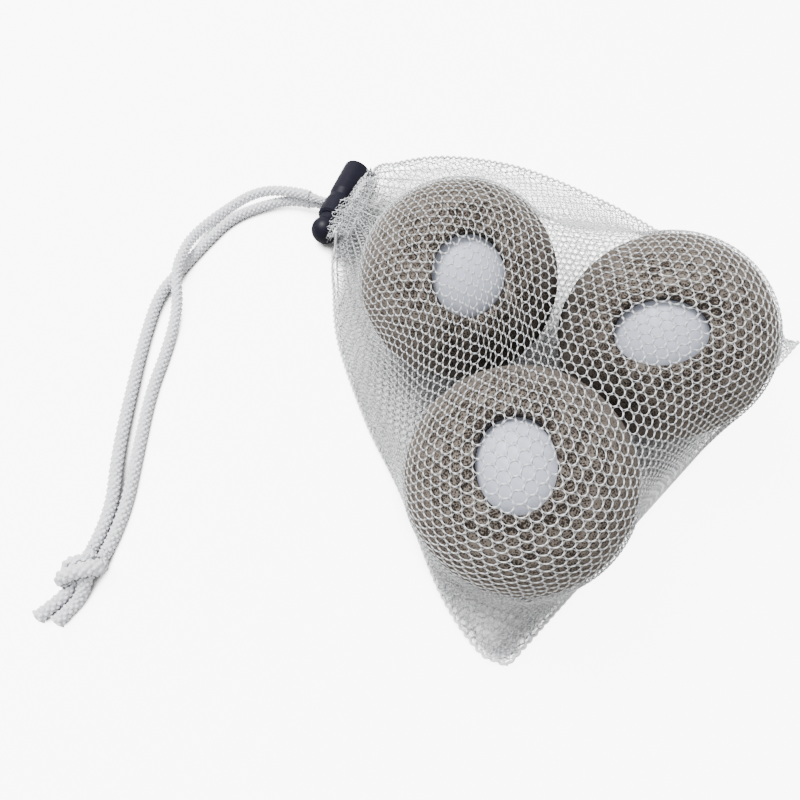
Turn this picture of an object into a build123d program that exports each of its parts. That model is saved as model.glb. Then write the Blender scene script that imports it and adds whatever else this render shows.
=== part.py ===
from build123d import *
import math
import os

import numpy as np

# A drawstring bag of knitted mesh with three foam balls in it, lying on its back on a table.
# Millimetres. +Z is up, +Y runs from the sewn bottom to the cinched mouth, and the origin is
# under the middle of the bag and its cord lock, on the table.

# Balls: a foam shell round a hard core, which shows through an oval mouth.
BALL_D = 60.0
CORE_D = 36.0
CORE_RISE = 8.5  # the core sits this far from the ball's centre, towards the mouth
FUNNEL_DEPTH = 11.0  # below the skin, where the mouth is at its narrowest
FUNNEL_WIDEN = 2.5  # the mouth is this much wider at the skin, each side
PAIR_GAP = 3.6  # between the two balls at the bottom of the bag
NOSE_GAP = 4.4  # between the third ball and each of those two
PAIR_MID_X = -12.3
PAIR_INSET = 27.9  # from the bottom edge to the pair's centres
NOSE_SHIFT = 3.8  # the third ball from the pair's middle, along X
MOUTHS = {"1": (20.0, 22.5), "2": (23.5, 17.0), "3": (18.5, 23.0)}  # oval, width by height
FACES = {"1": (-0.38, -0.43, 0.82), "2": (-0.60, -0.07, 0.80), "3": (-0.30, -0.03, 0.95)}
MOUTH_ACROSS = (0.72, -0.69, 0.0)  # the way that an oval's width runs

# Net: two panels, sewn together round the sides and the bottom.
NET = 0.8
BALL_CLEAR = 0.8  # net to ball
CAP_DROP = 0.3  # the flat over the balls and under them is this far inside the taut skin
BOTTOM_Y = -81.35
SEAM_Z = 9.0
SEAM_H = 1.6
SEAM_RIDGE = 1.2
EDGE_R = 1.5  # bend of the net at the seam
LEFT_CORNER_X = -75.5
RIGHT_CORNER_X = 61.5
CORNER_INSET = 3.0
LEFT_SIDE = [(-52.0, 76.0), (-39.0, 104.0)]  # X, and distance from the bottom edge
RIGHT_SIDE = [(73.0, 15.4), (75.0, 40.4), (70.0, 82.4), (56.0, 114.4), (28.0, 140.4)]

# Cord: a soft braid, squeezed thin where the hem and the lock hold it.
CORD_D = 4.2
HELD_D = 3.0
STRAND_GAP = 0.1  # between the two strands, one over the other, in the lock

# Mouth: the hem, bunched up on the loop of cord, and the net's loose edge past it.
NECK = 30.8  # the third ball's skin to the middle of the hem
MOUTH_SHIFT = 12.1  # the mouth from the third ball, along X
MOUTH_TURN = 26.0  # degrees that the mouth and the lock lie turned from X
HEM_WALL = 1.6
HEM_BORE_CLEAR = 0.1
LOOP_HALF = 11.5
LOOP_RISE = 8.2
LOOP_BEND = 3.3  # bend of the cord where it leaves the hem for the lock
MOUTH_CLEAR = 1.5  # net's gathered neck to hem
HEM_SLOT = 5.4  # half of the gap that the two ends of the cord come out of
FRILL_L = 25.0
FRILL_REACH = 5.5
FRILL_FALL = 2.4
FRILL_T = 1.0
FRILL_CLEAR = 0.2

# Cord lock: a barrel with a sprung plunger, which pinches the strands in a cross hole.
BARREL_D = 10.8
BARREL_L = 27.5
BARREL_WALL = 1.1
BARREL_END = 1.6
BARREL_EDGE = 0.8
WAIST_DEPTH = 0.5
WAIST_AT = 10.0  # from the rim
WAIST_HALF = 2.6
FLARE_HALF = 1.6  # the straight band of the rim's flare
KNOB_D = 10.2
STEM_RUN = 0.05  # running fit of the plunger in the barrel, each side
STEM_SHOWN = 2.6
STEM_HELD = 13.6
PLUNGER_TRAVEL = 2.0
HOLE_AT = 6.8  # from the rim
HOLE_CLEAR = 0.15
HOLE_ROUND = 0.98  # rounding of the cross hole's ends, of its half-width
LOCK_GAP = 0.4  # lock to hem
LOCK_REST = 0.5  # lock to table
LOCK_RUN = 6.0  # straight cord past the lock, for it to slide along
SPRING_D = 6.6
SPRING_WIRE = 0.8
SPRING_TURNS = 6
SPRING_CLEAR = 0.1

# Knot and tails at the free end.
KNOT_L = 13.0
KNOT_TURN = 208.0  # degrees from X, the way that the tails leave
KNOT_W = 11.5
KNOT_H = 9.0
KNOT_END_W = 9.0
REST_CLEAR = 0.1  # cord to table

ball_r = BALL_D / 2
held_r = HELD_D / 2
cord_r = CORD_D / 2
hem_r = held_r + HEM_BORE_CLEAR + HEM_WALL
skin_r = ball_r + BALL_CLEAR
ball_z = skin_r + NET - CAP_DROP
lock_z = LOCK_REST + BARREL_D / 2
strand_rise = (HELD_D + STRAND_GAP) / 2
loop_top = lock_z + strand_rise + LOOP_RISE
stem_r = BARREL_D / 2 - BARREL_WALL - STEM_RUN

pair_half = (BALL_D + PAIR_GAP) / 2
pair_y = BOTTOM_Y + PAIR_INSET
nose_drop = math.sqrt((BALL_D + NOSE_GAP) ** 2 - pair_half**2)
BALLS = {
    "1": Vector(PAIR_MID_X + NOSE_SHIFT, pair_y + nose_drop, ball_z),
    "2": Vector(PAIR_MID_X + pair_half, pair_y, ball_z),
    "3": Vector(PAIR_MID_X - pair_half, pair_y, ball_z),
}

turn = math.radians(MOUTH_TURN)
along = Vector(math.cos(turn), math.sin(turn), 0)  # along the mouth and the lock
out = Vector(-math.sin(turn), math.cos(turn), 0)  # out of the bag, square to the lock
up = Vector(0, 0, 1)
mouth_at = Vector(BALLS["1"].X + MOUTH_SHIFT, BALLS["1"].Y + ball_r + NECK, 0)
hole_at = mouth_at + out * (hem_r + LOCK_GAP + BARREL_D / 2) + up * lock_z
strand_at = hole_at + out * (BARREL_D / 2 + LOCK_RUN)
LOCK_PLACE = Plane(origin=hole_at, x_dir=along, z_dir=up)


def save(shape, node):
    os.makedirs("parts", exist_ok=True)
    export_step(shape, f"parts/{node}.step")


def box_from(low, high):
    size = [b - a for a, b in zip(low, high)]
    return Pos(*low) * Box(*size, align=(Align.MIN, Align.MIN, Align.MIN))


# ---- balls -----------------------------------------------------------------------------------


def core(name):
    return Pos(BALLS[name] + Vector(FACES[name]).normalized() * CORE_RISE) * Sphere(CORE_D / 2)


def foam_ball(name):
    """Sphere less the core's seat, with a funnel down to it whose section is the oval mouth."""
    facing = Vector(FACES[name]).normalized()
    width, height = MOUTHS[name]

    def oval(depth, widen):
        centre = BALLS[name] + facing * (ball_r - depth)
        plane = Plane(origin=centre, x_dir=MOUTH_ACROSS, z_dir=facing)
        return plane * Ellipse(width / 2 + widen, height / 2 + widen)

    spread = FUNNEL_WIDEN / FUNNEL_DEPTH
    over = 2.0
    funnel = loft([oval(FUNNEL_DEPTH, 0), oval(-over, FUNNEL_WIDEN + over * spread)])
    return Pos(BALLS[name]) * Sphere(ball_r) - core(name) - funnel


# ---- net panels and seams --------------------------------------------------------------------
# The net is a skin drawn tight round the balls, the sewn edge and the mouth: the convex hull of
# round blobs. From a point inside, the skin lies as far along a ray as the nearest of all the
# planes that touch the blobs from outside.

SKIN_POINTS = 60
CROWN_STEPS = (0.06, 0.33, 0.56, 0.75, 0.88, 1.0)  # of the angle from a ball's waist to its flat
FOOT_STEPS = (0.0, 0.3, 0.65)  # of the height from the seam to a ball's waist
BELLY_STEPS = (0.0, 0.2, 0.42, 0.66, 0.85, 1.0)  # of the angle from the seam to a ball's flat


def fibonacci_sphere(count):
    i = np.arange(count) + 0.5
    z = 1 - 2 * i / count
    swing = i * math.pi * (3 - math.sqrt(5))
    flat = np.sqrt(1 - z * z)
    return np.column_stack([flat * np.cos(swing), flat * np.sin(swing), z])


def skin_blobs():
    """Centre and radius of each thing that the net is drawn round, inside its thickness."""
    blobs = [(*tuple(at), skin_r) for at in BALLS.values()]
    corners = [(LEFT_CORNER_X, CORNER_INSET), (RIGHT_CORNER_X, CORNER_INSET)]
    edge = corners + LEFT_SIDE + RIGHT_SIDE
    blobs += [(x, BOTTOM_Y + y, SEAM_Z, EDGE_R) for x, y in edge]
    back = mouth_at - out * (hem_r + MOUTH_CLEAR + NET + EDGE_R)
    for side in (-LOOP_HALF, LOOP_HALF):
        for height in (lock_z - strand_rise, loop_top):
            blobs.append((*tuple(back + along * side + up * height), EDGE_R))
    return np.array(blobs)


BLOBS = skin_blobs()
COARSE = fibonacci_sphere(4000)
FINE = np.vstack([fibonacci_sphere(60), [[0, 0, 0]]])


def skin_outline(z, grow):
    """Closed curve where the skin, grown by grow, crosses the level z."""
    middle = np.array([PAIR_MID_X + NOSE_SHIFT / 2, pair_y + nose_drop / 3, z])
    swing = np.linspace(0, 2 * math.pi, SKIN_POINTS, endpoint=False)
    ray = np.column_stack([np.cos(swing), np.sin(swing), np.zeros(SKIN_POINTS)])

    def distance(normal):
        facing = np.einsum("rkc,rc->rk", normal, ray)
        support = (normal @ BLOBS[:, :3].T + BLOBS[:, 3] + grow).max(axis=2)
        gap = (support - normal @ middle) / np.maximum(facing, 1e-9)
        return np.where(facing > 1e-4, gap, np.inf)

    normal = np.broadcast_to(COARSE, (SKIN_POINTS, *COARSE.shape))
    for spread in (0.05, 0.02, 0.008, 0.003, 0.001, 0.0004):
        best = normal[np.arange(SKIN_POINTS), distance(normal).argmin(axis=1)]
        normal = best[:, None, :] + spread * FINE
        normal = normal / np.linalg.norm(normal, axis=2, keepdims=True)
    points = middle + ray * distance(normal).min(axis=1)[:, None]
    return Wire([Spline(*[tuple(p) for p in points], periodic=True)])


def skin_solid(levels, grow):
    return Solid.make_loft([skin_outline(z, grow) for z in levels])


def front_levels(start, radius):
    """Levels from start up to the flat over the balls, closer together near the top."""
    crown = math.asin(1 - CAP_DROP / radius)
    foot = [start + (ball_z - start) * step for step in FOOT_STEPS]
    return foot + [ball_z + radius * math.sin(crown * step) for step in CROWN_STEPS]


def back_levels(start, radius):
    """Levels from start down to the flat under the balls."""
    low = math.asin(1 - CAP_DROP / radius)
    high = math.asin((ball_z - start) / radius)
    return [ball_z - radius * math.sin(high + (low - high) * step) for step in BELLY_STEPS]


def front_panel():
    start = SEAM_Z + SEAM_H / 2
    shell = skin_solid(front_levels(start, skin_r + NET), NET)
    return shell - skin_solid(front_levels(start - SEAM_H, skin_r), 0)


def back_panel():
    start = SEAM_Z - SEAM_H / 2
    shell = skin_solid(back_levels(start, skin_r + NET), NET)
    return shell - skin_solid(back_levels(start + SEAM_H, skin_r), 0)


def seams():
    """Flat rim between the two panels, cut at the bottom corners and open at the mouth."""
    rim = Face(skin_outline(SEAM_Z, NET + SEAM_RIDGE)) - Face(skin_outline(SEAM_Z, 0))
    rim = Pos(0, 0, -SEAM_H / 2) * extrude(rim, SEAM_H, dir=(0, 0, 1))
    far = 500.0
    mouth_side = LOOP_HALF + hem_r + LOCK_GAP
    keep_off = hem_r + MOUTH_CLEAR + NET + 2 * EDGE_R
    mouth = Plane(origin=mouth_at, x_dir=along, z_dir=up) * box_from(
        (-mouth_side, -keep_off, -far), (mouth_side, far, far)
    )
    corner_y = BOTTOM_Y + CORNER_INSET
    rim = rim - mouth
    bottom = rim & box_from((-far, -far, -far), (far, corner_y, far))
    left = rim & box_from((-far, corner_y, -far), (mouth_at.X, far, far))
    right = rim & box_from((mouth_at.X, corner_y, -far), (far, far, far))
    return {"bottom_seam": bottom, "side_seam_left": left, "side_seam_right": right}


# ---- cord ------------------------------------------------------------------------------------
# A cord is straight runs joined by arcs, each as large as its two runs allow.


def bend_radii(points):
    """0.45 of each corner's shorter run, over the tangent of half its turn."""
    radii = []
    for before, at, after in zip(points, points[1:], points[2:]):
        run_in, run_out = at - before, after - at
        half_turn = math.radians(run_in.get_angle(run_out)) / 2
        radii.append(0.45 * min(run_in.length, run_out.length) / math.tan(half_turn))
    return radii


def cord_path(points, radii, name):
    path = FilletPolyline(*points, radius=radii)
    print(name, "length", round(path.length, 1), "radii", [round(r, 1) for r in radii])
    return path


def tube(path, radius):
    return sweep(Plane(origin=path @ 0, z_dir=path % 0) * Circle(radius), path=path)


def loop_points():
    """From the lock's far side, round the mouth inside the hem and back, the upper end first."""
    high, low = lock_z + strand_rise, lock_z - strand_rise
    end = strand_at - up * lock_z
    return [
        end + up * high,
        mouth_at + up * high,
        mouth_at + along * LOOP_HALF + up * high,
        mouth_at + along * LOOP_HALF + up * loop_top,
        mouth_at - along * LOOP_HALF + up * loop_top,
        mouth_at - along * LOOP_HALF + up * low,
        mouth_at + up * low,
        end + up * low,
    ]


def loop_radii():
    inside = bend_radii(loop_points())[1:-1]
    return [LOOP_BEND, *inside, LOOP_BEND]


def drawcord_loop():
    return tube(cord_path(loop_points(), loop_radii(), "drawcord_loop"), held_r)


def mouth_hem():
    """Gathered tube of net on the loop, open for a stretch where the cord's two ends leave."""
    points = loop_points()[1:-1]
    points[0] = points[0] + along * HEM_SLOT
    points[-1] = points[-1] - along * HEM_SLOT
    path = FilletPolyline(*points, radius=loop_radii()[1:-1])
    return tube(path, hem_r) - tube(path, held_r + HEM_BORE_CLEAR)


def mouth_frill():
    """Loose edge of the net, from the hem's top out over the lock."""
    start = hem_r + FRILL_CLEAR
    profile = Polyline(
        (start, loop_top + FRILL_T),
        (start + FRILL_REACH, loop_top + FRILL_T - FRILL_FALL),
        (start + FRILL_REACH, loop_top - FRILL_FALL),
        (start, loop_top),
        close=True,
    )
    side = Plane(origin=mouth_at - along * (FRILL_L / 2), x_dir=out, z_dir=along)
    return extrude(side * make_face(profile), FRILL_L)


# Each strand's route from the straight stretch past the lock to the knot, as offsets from the
# end of that stretch along X and Y, with heights above the table. The upper strand lies on the
# outside of the first bend and crosses over the lower one in a long low hump.
UPPER_ROUTE = [
    (-12.1, 17.2, 6.6),
    (-26.7, 21.4, 2.7),
    (-42.0, 18.3, 4.1),
    (-50.7, 11.6, 7.2),
    (-58.2, 5.4, 7.2),
    (-66.2, -5.6, 3.2),
    (-79.2, -16.8, 2.2),
    (-91.7, -26.1, 2.2),
    (-107.7, -42.4, 2.2),
]
LOWER_ROUTE = [
    (-14.3, 13.6, 2.6),
    (-26.7, 16.8, 2.2),
    (-40.4, 13.6, 2.2),
    (-54.7, 9.4, 2.2),
    (-66.7, 6.0, 2.2),
    (-81.2, -6.6, 2.2),
    (-95.2, -20.3, 2.2),
    (-112.2, -37.8, 2.2),
]
STRAND_LEAD = 7.0  # straight cord at the start of each strand
KNOT_OFFSET = (-138.8, -63.7)  # the knot's middle, from the same point
KNOT_RUN = 11.0  # straight cord into the knot
TAIL_RUN = 5.0
TAIL_ENDS = {"upper": (-151.8, -70.9), "lower": (-156.3, -64.0)}

knot_turn = math.radians(KNOT_TURN)
knot_way = Vector(math.cos(knot_turn), math.sin(knot_turn), 0)
knot_across = Vector(-math.sin(knot_turn), math.cos(knot_turn), 0)
rest_z = cord_r + REST_CLEAR
strand_foot = strand_at - up * strand_at.Z
knot_at = strand_foot + Vector(*KNOT_OFFSET, 0)
side_step = {"upper": cord_r + STRAND_GAP / 2, "lower": -cord_r - STRAND_GAP / 2}


def strand(which, route):
    start = strand_at + up * side_step[which]
    end = knot_at - knot_way * (KNOT_L / 2) + knot_across * side_step[which] + up * rest_z
    points = [start, start + out * STRAND_LEAD]
    points += [strand_foot + Vector(*p) for p in route]
    points += [end - knot_way * KNOT_RUN, end]
    return tube(cord_path(points, bend_radii(points), f"cord_strand_{which}"), cord_r)


def tail(which):
    start = knot_at + knot_way * (KNOT_L / 2) + knot_across * side_step[which] + up * rest_z
    end = strand_foot + Vector(*TAIL_ENDS[which], rest_z)
    points = [start, start + knot_way * TAIL_RUN, end]
    return tube(cord_path(points, bend_radii(points), f"cord_tail_{which}"), cord_r)


def end_knot():
    """Lumpy body lofted through ovals along the cord, each standing just clear of the table."""
    end_h = CORD_D + REST_CLEAR
    shape = [
        (-0.5, KNOT_END_W, end_h),
        (-0.28, KNOT_W * 0.96, KNOT_H * 0.9),
        (0.0, KNOT_W, KNOT_H),
        (0.28, KNOT_W * 0.92, KNOT_H * 0.86),
        (0.5, KNOT_END_W, end_h),
    ]
    ovals = []
    for share, width, height in shape:
        centre = knot_at + knot_way * (KNOT_L * share) + up * (REST_CLEAR + height / 2)
        section = Plane(origin=centre, x_dir=knot_across, z_dir=knot_way)
        ovals.append(section * Ellipse(width / 2, height / 2))
    return loft(ovals)


# ---- cord lock -------------------------------------------------------------------------------
# Made about its own axis, X, with the cross hole at the origin and the rim towards -X.

rim_x = -HOLE_AT
end_x = rim_x + BARREL_L
bore_end = end_x - BARREL_END
knob_x = rim_x - STEM_SHOWN - math.sqrt((KNOB_D / 2) ** 2 - stem_r**2)


def turned(profile):
    return revolve(make_face(profile), Axis.X, 360)


def slot(low_x, high_x):
    """Round-ended cross hole for the two strands, one over the other, from low_x to high_x."""
    half_h = strand_rise + held_r + HOLE_CLEAR
    radius = held_r + HOLE_CLEAR
    tool = box_from((low_x, -BARREL_D, -half_h), (high_x, BARREL_D, half_h))
    return fillet(tool.edges().filter_by(Axis.Y), radius * HOLE_ROUND)


def cord_lock_barrel():
    r = BARREL_D / 2
    waist_x = rim_x + WAIST_AT
    band_x = waist_x - WAIST_HALF - 2 * FLARE_HALF
    outer = Polyline(
        (rim_x, 0),
        (rim_x, r - BARREL_EDGE),
        (rim_x + BARREL_EDGE, r),
        (band_x + 2 * FLARE_HALF, r),
        (waist_x, r - WAIST_DEPTH),
        (waist_x + WAIST_HALF, r),
        (end_x, r),
        (end_x, 0),
        close=True,
    )
    body = turned(outer)
    end_edges = body.edges().filter_by(GeomType.CIRCLE).group_by(Axis.X)[-1]
    body = fillet(end_edges, BARREL_EDGE)
    bore = Pos((rim_x + bore_end) / 2, 0, 0) * Rot(0, 90, 0) * Cylinder(
        r - BARREL_WALL, bore_end - rim_x
    )
    radius = held_r + HOLE_CLEAR
    return LOCK_PLACE * (body - bore - slot(-radius, radius))


def cord_lock_plunger():
    """Round knob on a stem, whose cross hole is longer than the cord by the travel."""
    stem_end = rim_x + STEM_HELD
    knob = Pos(knob_x, 0, 0) * Sphere(KNOB_D / 2)
    stem = Pos((knob_x + stem_end) / 2, 0, 0) * Rot(0, 90, 0) * Cylinder(
        stem_r, stem_end - knob_x
    )
    radius = held_r + HOLE_CLEAR
    return LOCK_PLACE * (knob + stem - slot(-radius - PLUNGER_TRAVEL, radius))


def cord_lock_spring():
    low = rim_x + STEM_HELD + SPRING_CLEAR + SPRING_WIRE / 2
    high = bore_end - SPRING_CLEAR - SPRING_WIRE / 2
    coil_r = (SPRING_D - SPRING_WIRE) / 2
    line = Helix(
        pitch=(high - low) / SPRING_TURNS,
        height=high - low,
        radius=coil_r,
        center=(low, 0, 0),
        direction=(1, 0, 0),
    )
    wire = Plane(origin=line @ 0, z_dir=line % 0) * Circle(SPRING_WIRE / 2)
    return LOCK_PLACE * sweep(wire, path=line, is_frenet=True)


# ---- every piece -----------------------------------------------------------------------------

for name in BALLS:
    save(foam_ball(name), f"ball_{name}_foam")
    save(core(name), f"ball_{name}_core")
save(front_panel(), "front_panel")
save(back_panel(), "back_panel")
for node, seam in seams().items():
    save(seam, node)
save(mouth_hem(), "mouth_hem")
save(mouth_frill(), "mouth_frill")
save(drawcord_loop(), "drawcord_loop")
save(cord_lock_barrel(), "cord_lock_barrel")
save(cord_lock_plunger(), "cord_lock_plunger")
save(cord_lock_spring(), "cord_lock_spring")
save(strand("upper", UPPER_ROUTE), "cord_strand_upper")
save(strand("lower", LOWER_ROUTE), "cord_strand_lower")
save(end_knot(), "end_knot")
save(tail("upper"), "cord_tail_upper")
save(tail("lower"), "cord_tail_lower")
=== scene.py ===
import math

import bpy
import numpy as np
from mathutils import Matrix, Vector


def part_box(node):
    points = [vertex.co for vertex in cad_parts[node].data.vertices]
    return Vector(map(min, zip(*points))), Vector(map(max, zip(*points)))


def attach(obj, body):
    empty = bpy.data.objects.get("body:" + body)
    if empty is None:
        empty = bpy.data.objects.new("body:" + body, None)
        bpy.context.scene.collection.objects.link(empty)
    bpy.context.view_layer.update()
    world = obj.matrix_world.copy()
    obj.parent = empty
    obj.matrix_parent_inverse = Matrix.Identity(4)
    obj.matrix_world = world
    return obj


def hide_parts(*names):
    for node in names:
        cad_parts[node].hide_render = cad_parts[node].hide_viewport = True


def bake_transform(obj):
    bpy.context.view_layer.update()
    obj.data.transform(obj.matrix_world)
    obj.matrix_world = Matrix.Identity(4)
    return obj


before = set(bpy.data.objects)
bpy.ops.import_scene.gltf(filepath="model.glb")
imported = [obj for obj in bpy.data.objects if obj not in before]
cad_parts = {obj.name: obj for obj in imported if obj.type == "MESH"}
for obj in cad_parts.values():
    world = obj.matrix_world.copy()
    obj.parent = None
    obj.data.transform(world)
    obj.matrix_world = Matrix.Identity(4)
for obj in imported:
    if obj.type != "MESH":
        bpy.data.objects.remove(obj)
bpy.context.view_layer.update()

# ---- View --------------------------------------------------------------------------------------
# The bag is seen from high up, a hand's length away, from beyond the left bottom corner, with a
# wide lens, so that the near ball looks larger than the far ones.

VIEW_TURN = math.radians(43.87)
VIEW_DOWN = math.radians(62.0)
EYE = Vector((-0.1102, -0.07725, 0.1936))
LENS = 29.62

right = Vector((math.cos(VIEW_TURN), -math.sin(VIEW_TURN), 0))
ahead = Vector((math.sin(VIEW_TURN) * math.cos(VIEW_DOWN), math.cos(VIEW_TURN) * math.cos(VIEW_DOWN),
                -math.sin(VIEW_DOWN)))
above = right.cross(ahead)
camera = bpy.data.objects.new("camera", bpy.data.cameras.new("camera"))
camera.data.lens = LENS
camera.data.sensor_width = 36.0
camera.data.clip_start = 0.01
turned = Matrix((right, above, -ahead)).transposed().to_4x4()
camera.matrix_world = Matrix.Translation(EYE) @ turned
bpy.context.collection.objects.link(camera)
bpy.context.scene.camera = camera


# ---- Cord strands ------------------------------------------------------------------------------
# The draw cord is a soft round braid of white polyester plaits, 4.2 mm thick. Its two ends come out
# of the lock one over the other, swing round side by side, cross once and meet again in the knot.
# They lie loose on the table.

CORD_D = 0.0042
PLAITS_ROUND = 6
PLAIT_PITCH = 0.0021
PLAIT_DEPTH = 0.0008
CORD_WHITE = (0.90, 0.91, 0.95)

LOOP_END = Vector((-0.005343, 0.081687, 0))
LOCK_Z = 0.0059
EXIT_RISE = 0.00215
LEAD = Vector((-0.003068, 0.006292, 0))
KNOT_AT = Vector((-0.144143, 0.017987, 0))
KNOT_TURN = math.radians(208.0)
KNOT_L = 0.013
KNOT_RUN = 0.011
REST_Z = 0.0022
FILAMENTS = 5200.0
CORD_CLOUDS = 260.0
# Colour of the painted shade in the grooves between the cord's plaits.
CORD_PAINTED_GROOVE_SHADE = (0.04, 0.04, 0.06)
UPPER_ROUTE = [
    (-0.0121, 0.0172, 0.0066),
    (-0.0267, 0.0214, 0.0027),
    (-0.0420, 0.0183, 0.0041),
    (-0.0507, 0.0116, 0.0072),
    (-0.0582, 0.0054, 0.0072),
    (-0.0662, -0.0056, 0.0032),
    (-0.0792, -0.0168, 0.0022),
    (-0.0917, -0.0261, 0.0022),
    (-0.1077, -0.0424, 0.0022),
]
LOWER_ROUTE = [
    (-0.0143, 0.0136, 0.0026),
    (-0.0267, 0.0168, 0.0022),
    (-0.0404, 0.0136, 0.0022),
    (-0.0547, 0.0094, 0.0022),
    (-0.0667, 0.0060, 0.0022),
    (-0.0812, -0.0066, 0.0022),
    (-0.0952, -0.0203, 0.0022),
    (-0.1122, -0.0378, 0.0022),
]
knot_way = Vector((math.cos(KNOT_TURN), math.sin(KNOT_TURN), 0))
knot_across = Vector((-math.sin(KNOT_TURN), math.cos(KNOT_TURN), 0))


def line_through(points):
    """Points along one open NURBS spline of order 3 that has the given control points."""
    curve = bpy.data.curves.new("line", "CURVE")
    curve.dimensions = "3D"
    curve.resolution_u = 32
    spline = curve.splines.new("NURBS")
    spline.points.add(len(points) - 1)
    spline.points.foreach_set("co", np.array([(*p, 1.0) for p in points]).ravel())
    spline.order_u = 3
    spline.use_endpoint_u = True
    holder = bpy.data.objects.new("line", curve)
    bpy.context.collection.objects.link(holder)
    mesh = bpy.data.meshes.new_from_object(holder)
    line = np.empty(len(mesh.vertices) * 3)
    mesh.vertices.foreach_get("co", line)
    bpy.data.objects.remove(holder)
    bpy.data.meshes.remove(mesh)
    return line.reshape(-1, 3)


def evenly(line, step):
    """The same line with points a step apart along its length."""
    run = np.linalg.norm(np.diff(line, axis=0), axis=1)
    line, run = line[np.append(True, run > 1e-7)], run[run > 1e-7]
    at = np.append(0, np.cumsum(run))
    want = np.linspace(0, at[-1], max(3, int(at[-1] / step) + 1))
    return np.stack([np.interp(want, at, line[:, k]) for k in range(3)], axis=1), want


def unit(vectors):
    """The same directions at length 1."""
    return vectors / np.linalg.norm(vectors, axis=-1, keepdims=True)


def surface(name, grid, uv=None, round_=False, ends=False):
    """Mesh on a rows x columns grid of points, closed round its columns when round_ is set, and
    capped with a fan at its first and last row when ends is set."""
    rows, cols = grid.shape[:2]
    index = np.arange(rows * cols).reshape(rows, cols)
    following = np.roll(index, -1, axis=1) if round_ else index[:, 1:]
    this = index if round_ else index[:, :-1]
    quads = np.stack([this[:-1], following[:-1], following[1:], this[1:]], axis=-1).reshape(-1, 4)
    points = grid.reshape(-1, 3)
    faces = quads.tolist()
    if ends:
        points = np.vstack([points, grid[0].mean(axis=0), grid[-1].mean(axis=0)])
        first, last = len(points) - 2, len(points) - 1
        faces += [(b, a, first) for a, b in zip(this[0].tolist(), following[0].tolist())]
        faces += [(a, b, last) for a, b in zip(this[-1].tolist(), following[-1].tolist())]
    mesh = bpy.data.meshes.new(name)
    mesh.from_pydata(points.tolist(), [], faces)
    if uv is not None:
        flat = uv.reshape(-1, 2)
        if ends:
            flat = np.vstack([flat, uv[0].mean(axis=0), uv[-1].mean(axis=0)])
        corners = np.empty(len(mesh.loops), dtype=np.int32)
        mesh.loops.foreach_get("vertex_index", corners)
        mesh.uv_layers.new(name="UVMap").data.foreach_set("uv", flat[corners].ravel())
    mesh.shade_smooth()
    piece = bpy.data.objects.new(name, mesh)
    bpy.context.collection.objects.link(piece)
    return piece


def braid(name, line, radius, thin=None, sides=36, step=0.00028):
    """Tube round a line. Its skin is two sets of plaits that wind opposite ways and go under each
    other in turn: at length s and angle a the height is the product of two sines, of
    (n a + 2 pi s / pitch) / 2 and (n a - 2 pi s / pitch) / 2, so that it makes diamonds."""
    path, along = evenly(line, step)
    way = unit(np.gradient(path, axis=0))
    side = unit(np.cross(way, (0, 0, 1.0)))
    top = np.cross(side, way)
    angle = np.linspace(0, 2 * math.pi, sides, endpoint=False)[None, :]
    turn = 2 * math.pi * along[:, None] / PLAIT_PITCH
    weave = np.abs(np.sin((PLAITS_ROUND * angle + turn) / 2) * np.sin((PLAITS_ROUND * angle - turn) / 2))
    size = radius if thin is None else thin(along)[:, None]
    reach = size - PLAIT_DEPTH * (1 - weave**0.9)
    grid = path[:, None] + reach[..., None] * (
        np.cos(angle)[..., None] * side[:, None] + np.sin(angle)[..., None] * top[:, None]
    )
    uv = np.stack(np.broadcast_arrays(angle / (2 * math.pi), along[:, None] / (2 * math.pi * radius)), axis=-1)
    return surface(name, grid, uv, round_=True, ends=True)


def nodes_of(name):
    """A new material with its node tree and its Principled BSDF."""
    material = bpy.data.materials.new(name)
    material.use_nodes = True
    tree = material.node_tree
    return material, tree, tree.nodes["Principled BSDF"]


def add(tree, kind, settings=(), **inputs):
    """A node with its settings, and its input sockets set or linked, by name or by number."""
    node = tree.nodes.new(kind)
    for key, value in dict(settings).items():
        setattr(node, key, value)
    for key, value in inputs.items():
        socket = node.inputs[int(key[1:]) if key[0] == "i" and key[1:].isdigit() else key.replace("_", " ")]
        if isinstance(value, bpy.types.NodeSocket):
            tree.links.new(value, socket)
        else:
            socket.default_value = value
    return node


def ramp(tree, factor, stops):
    """Colour that goes through the stops, each a place and a colour, as the factor grows."""
    node = add(tree, "ShaderNodeValToRGB", Fac=factor)
    elements = node.color_ramp.elements
    for (place, colour), element in zip(stops, [elements[0], elements[1]]):
        element.position, element.color = place, (*colour, 1)
    for place, colour in stops[2:]:
        elements.new(place).color = (*colour, 1)
    return node.outputs["Color"]


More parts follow.
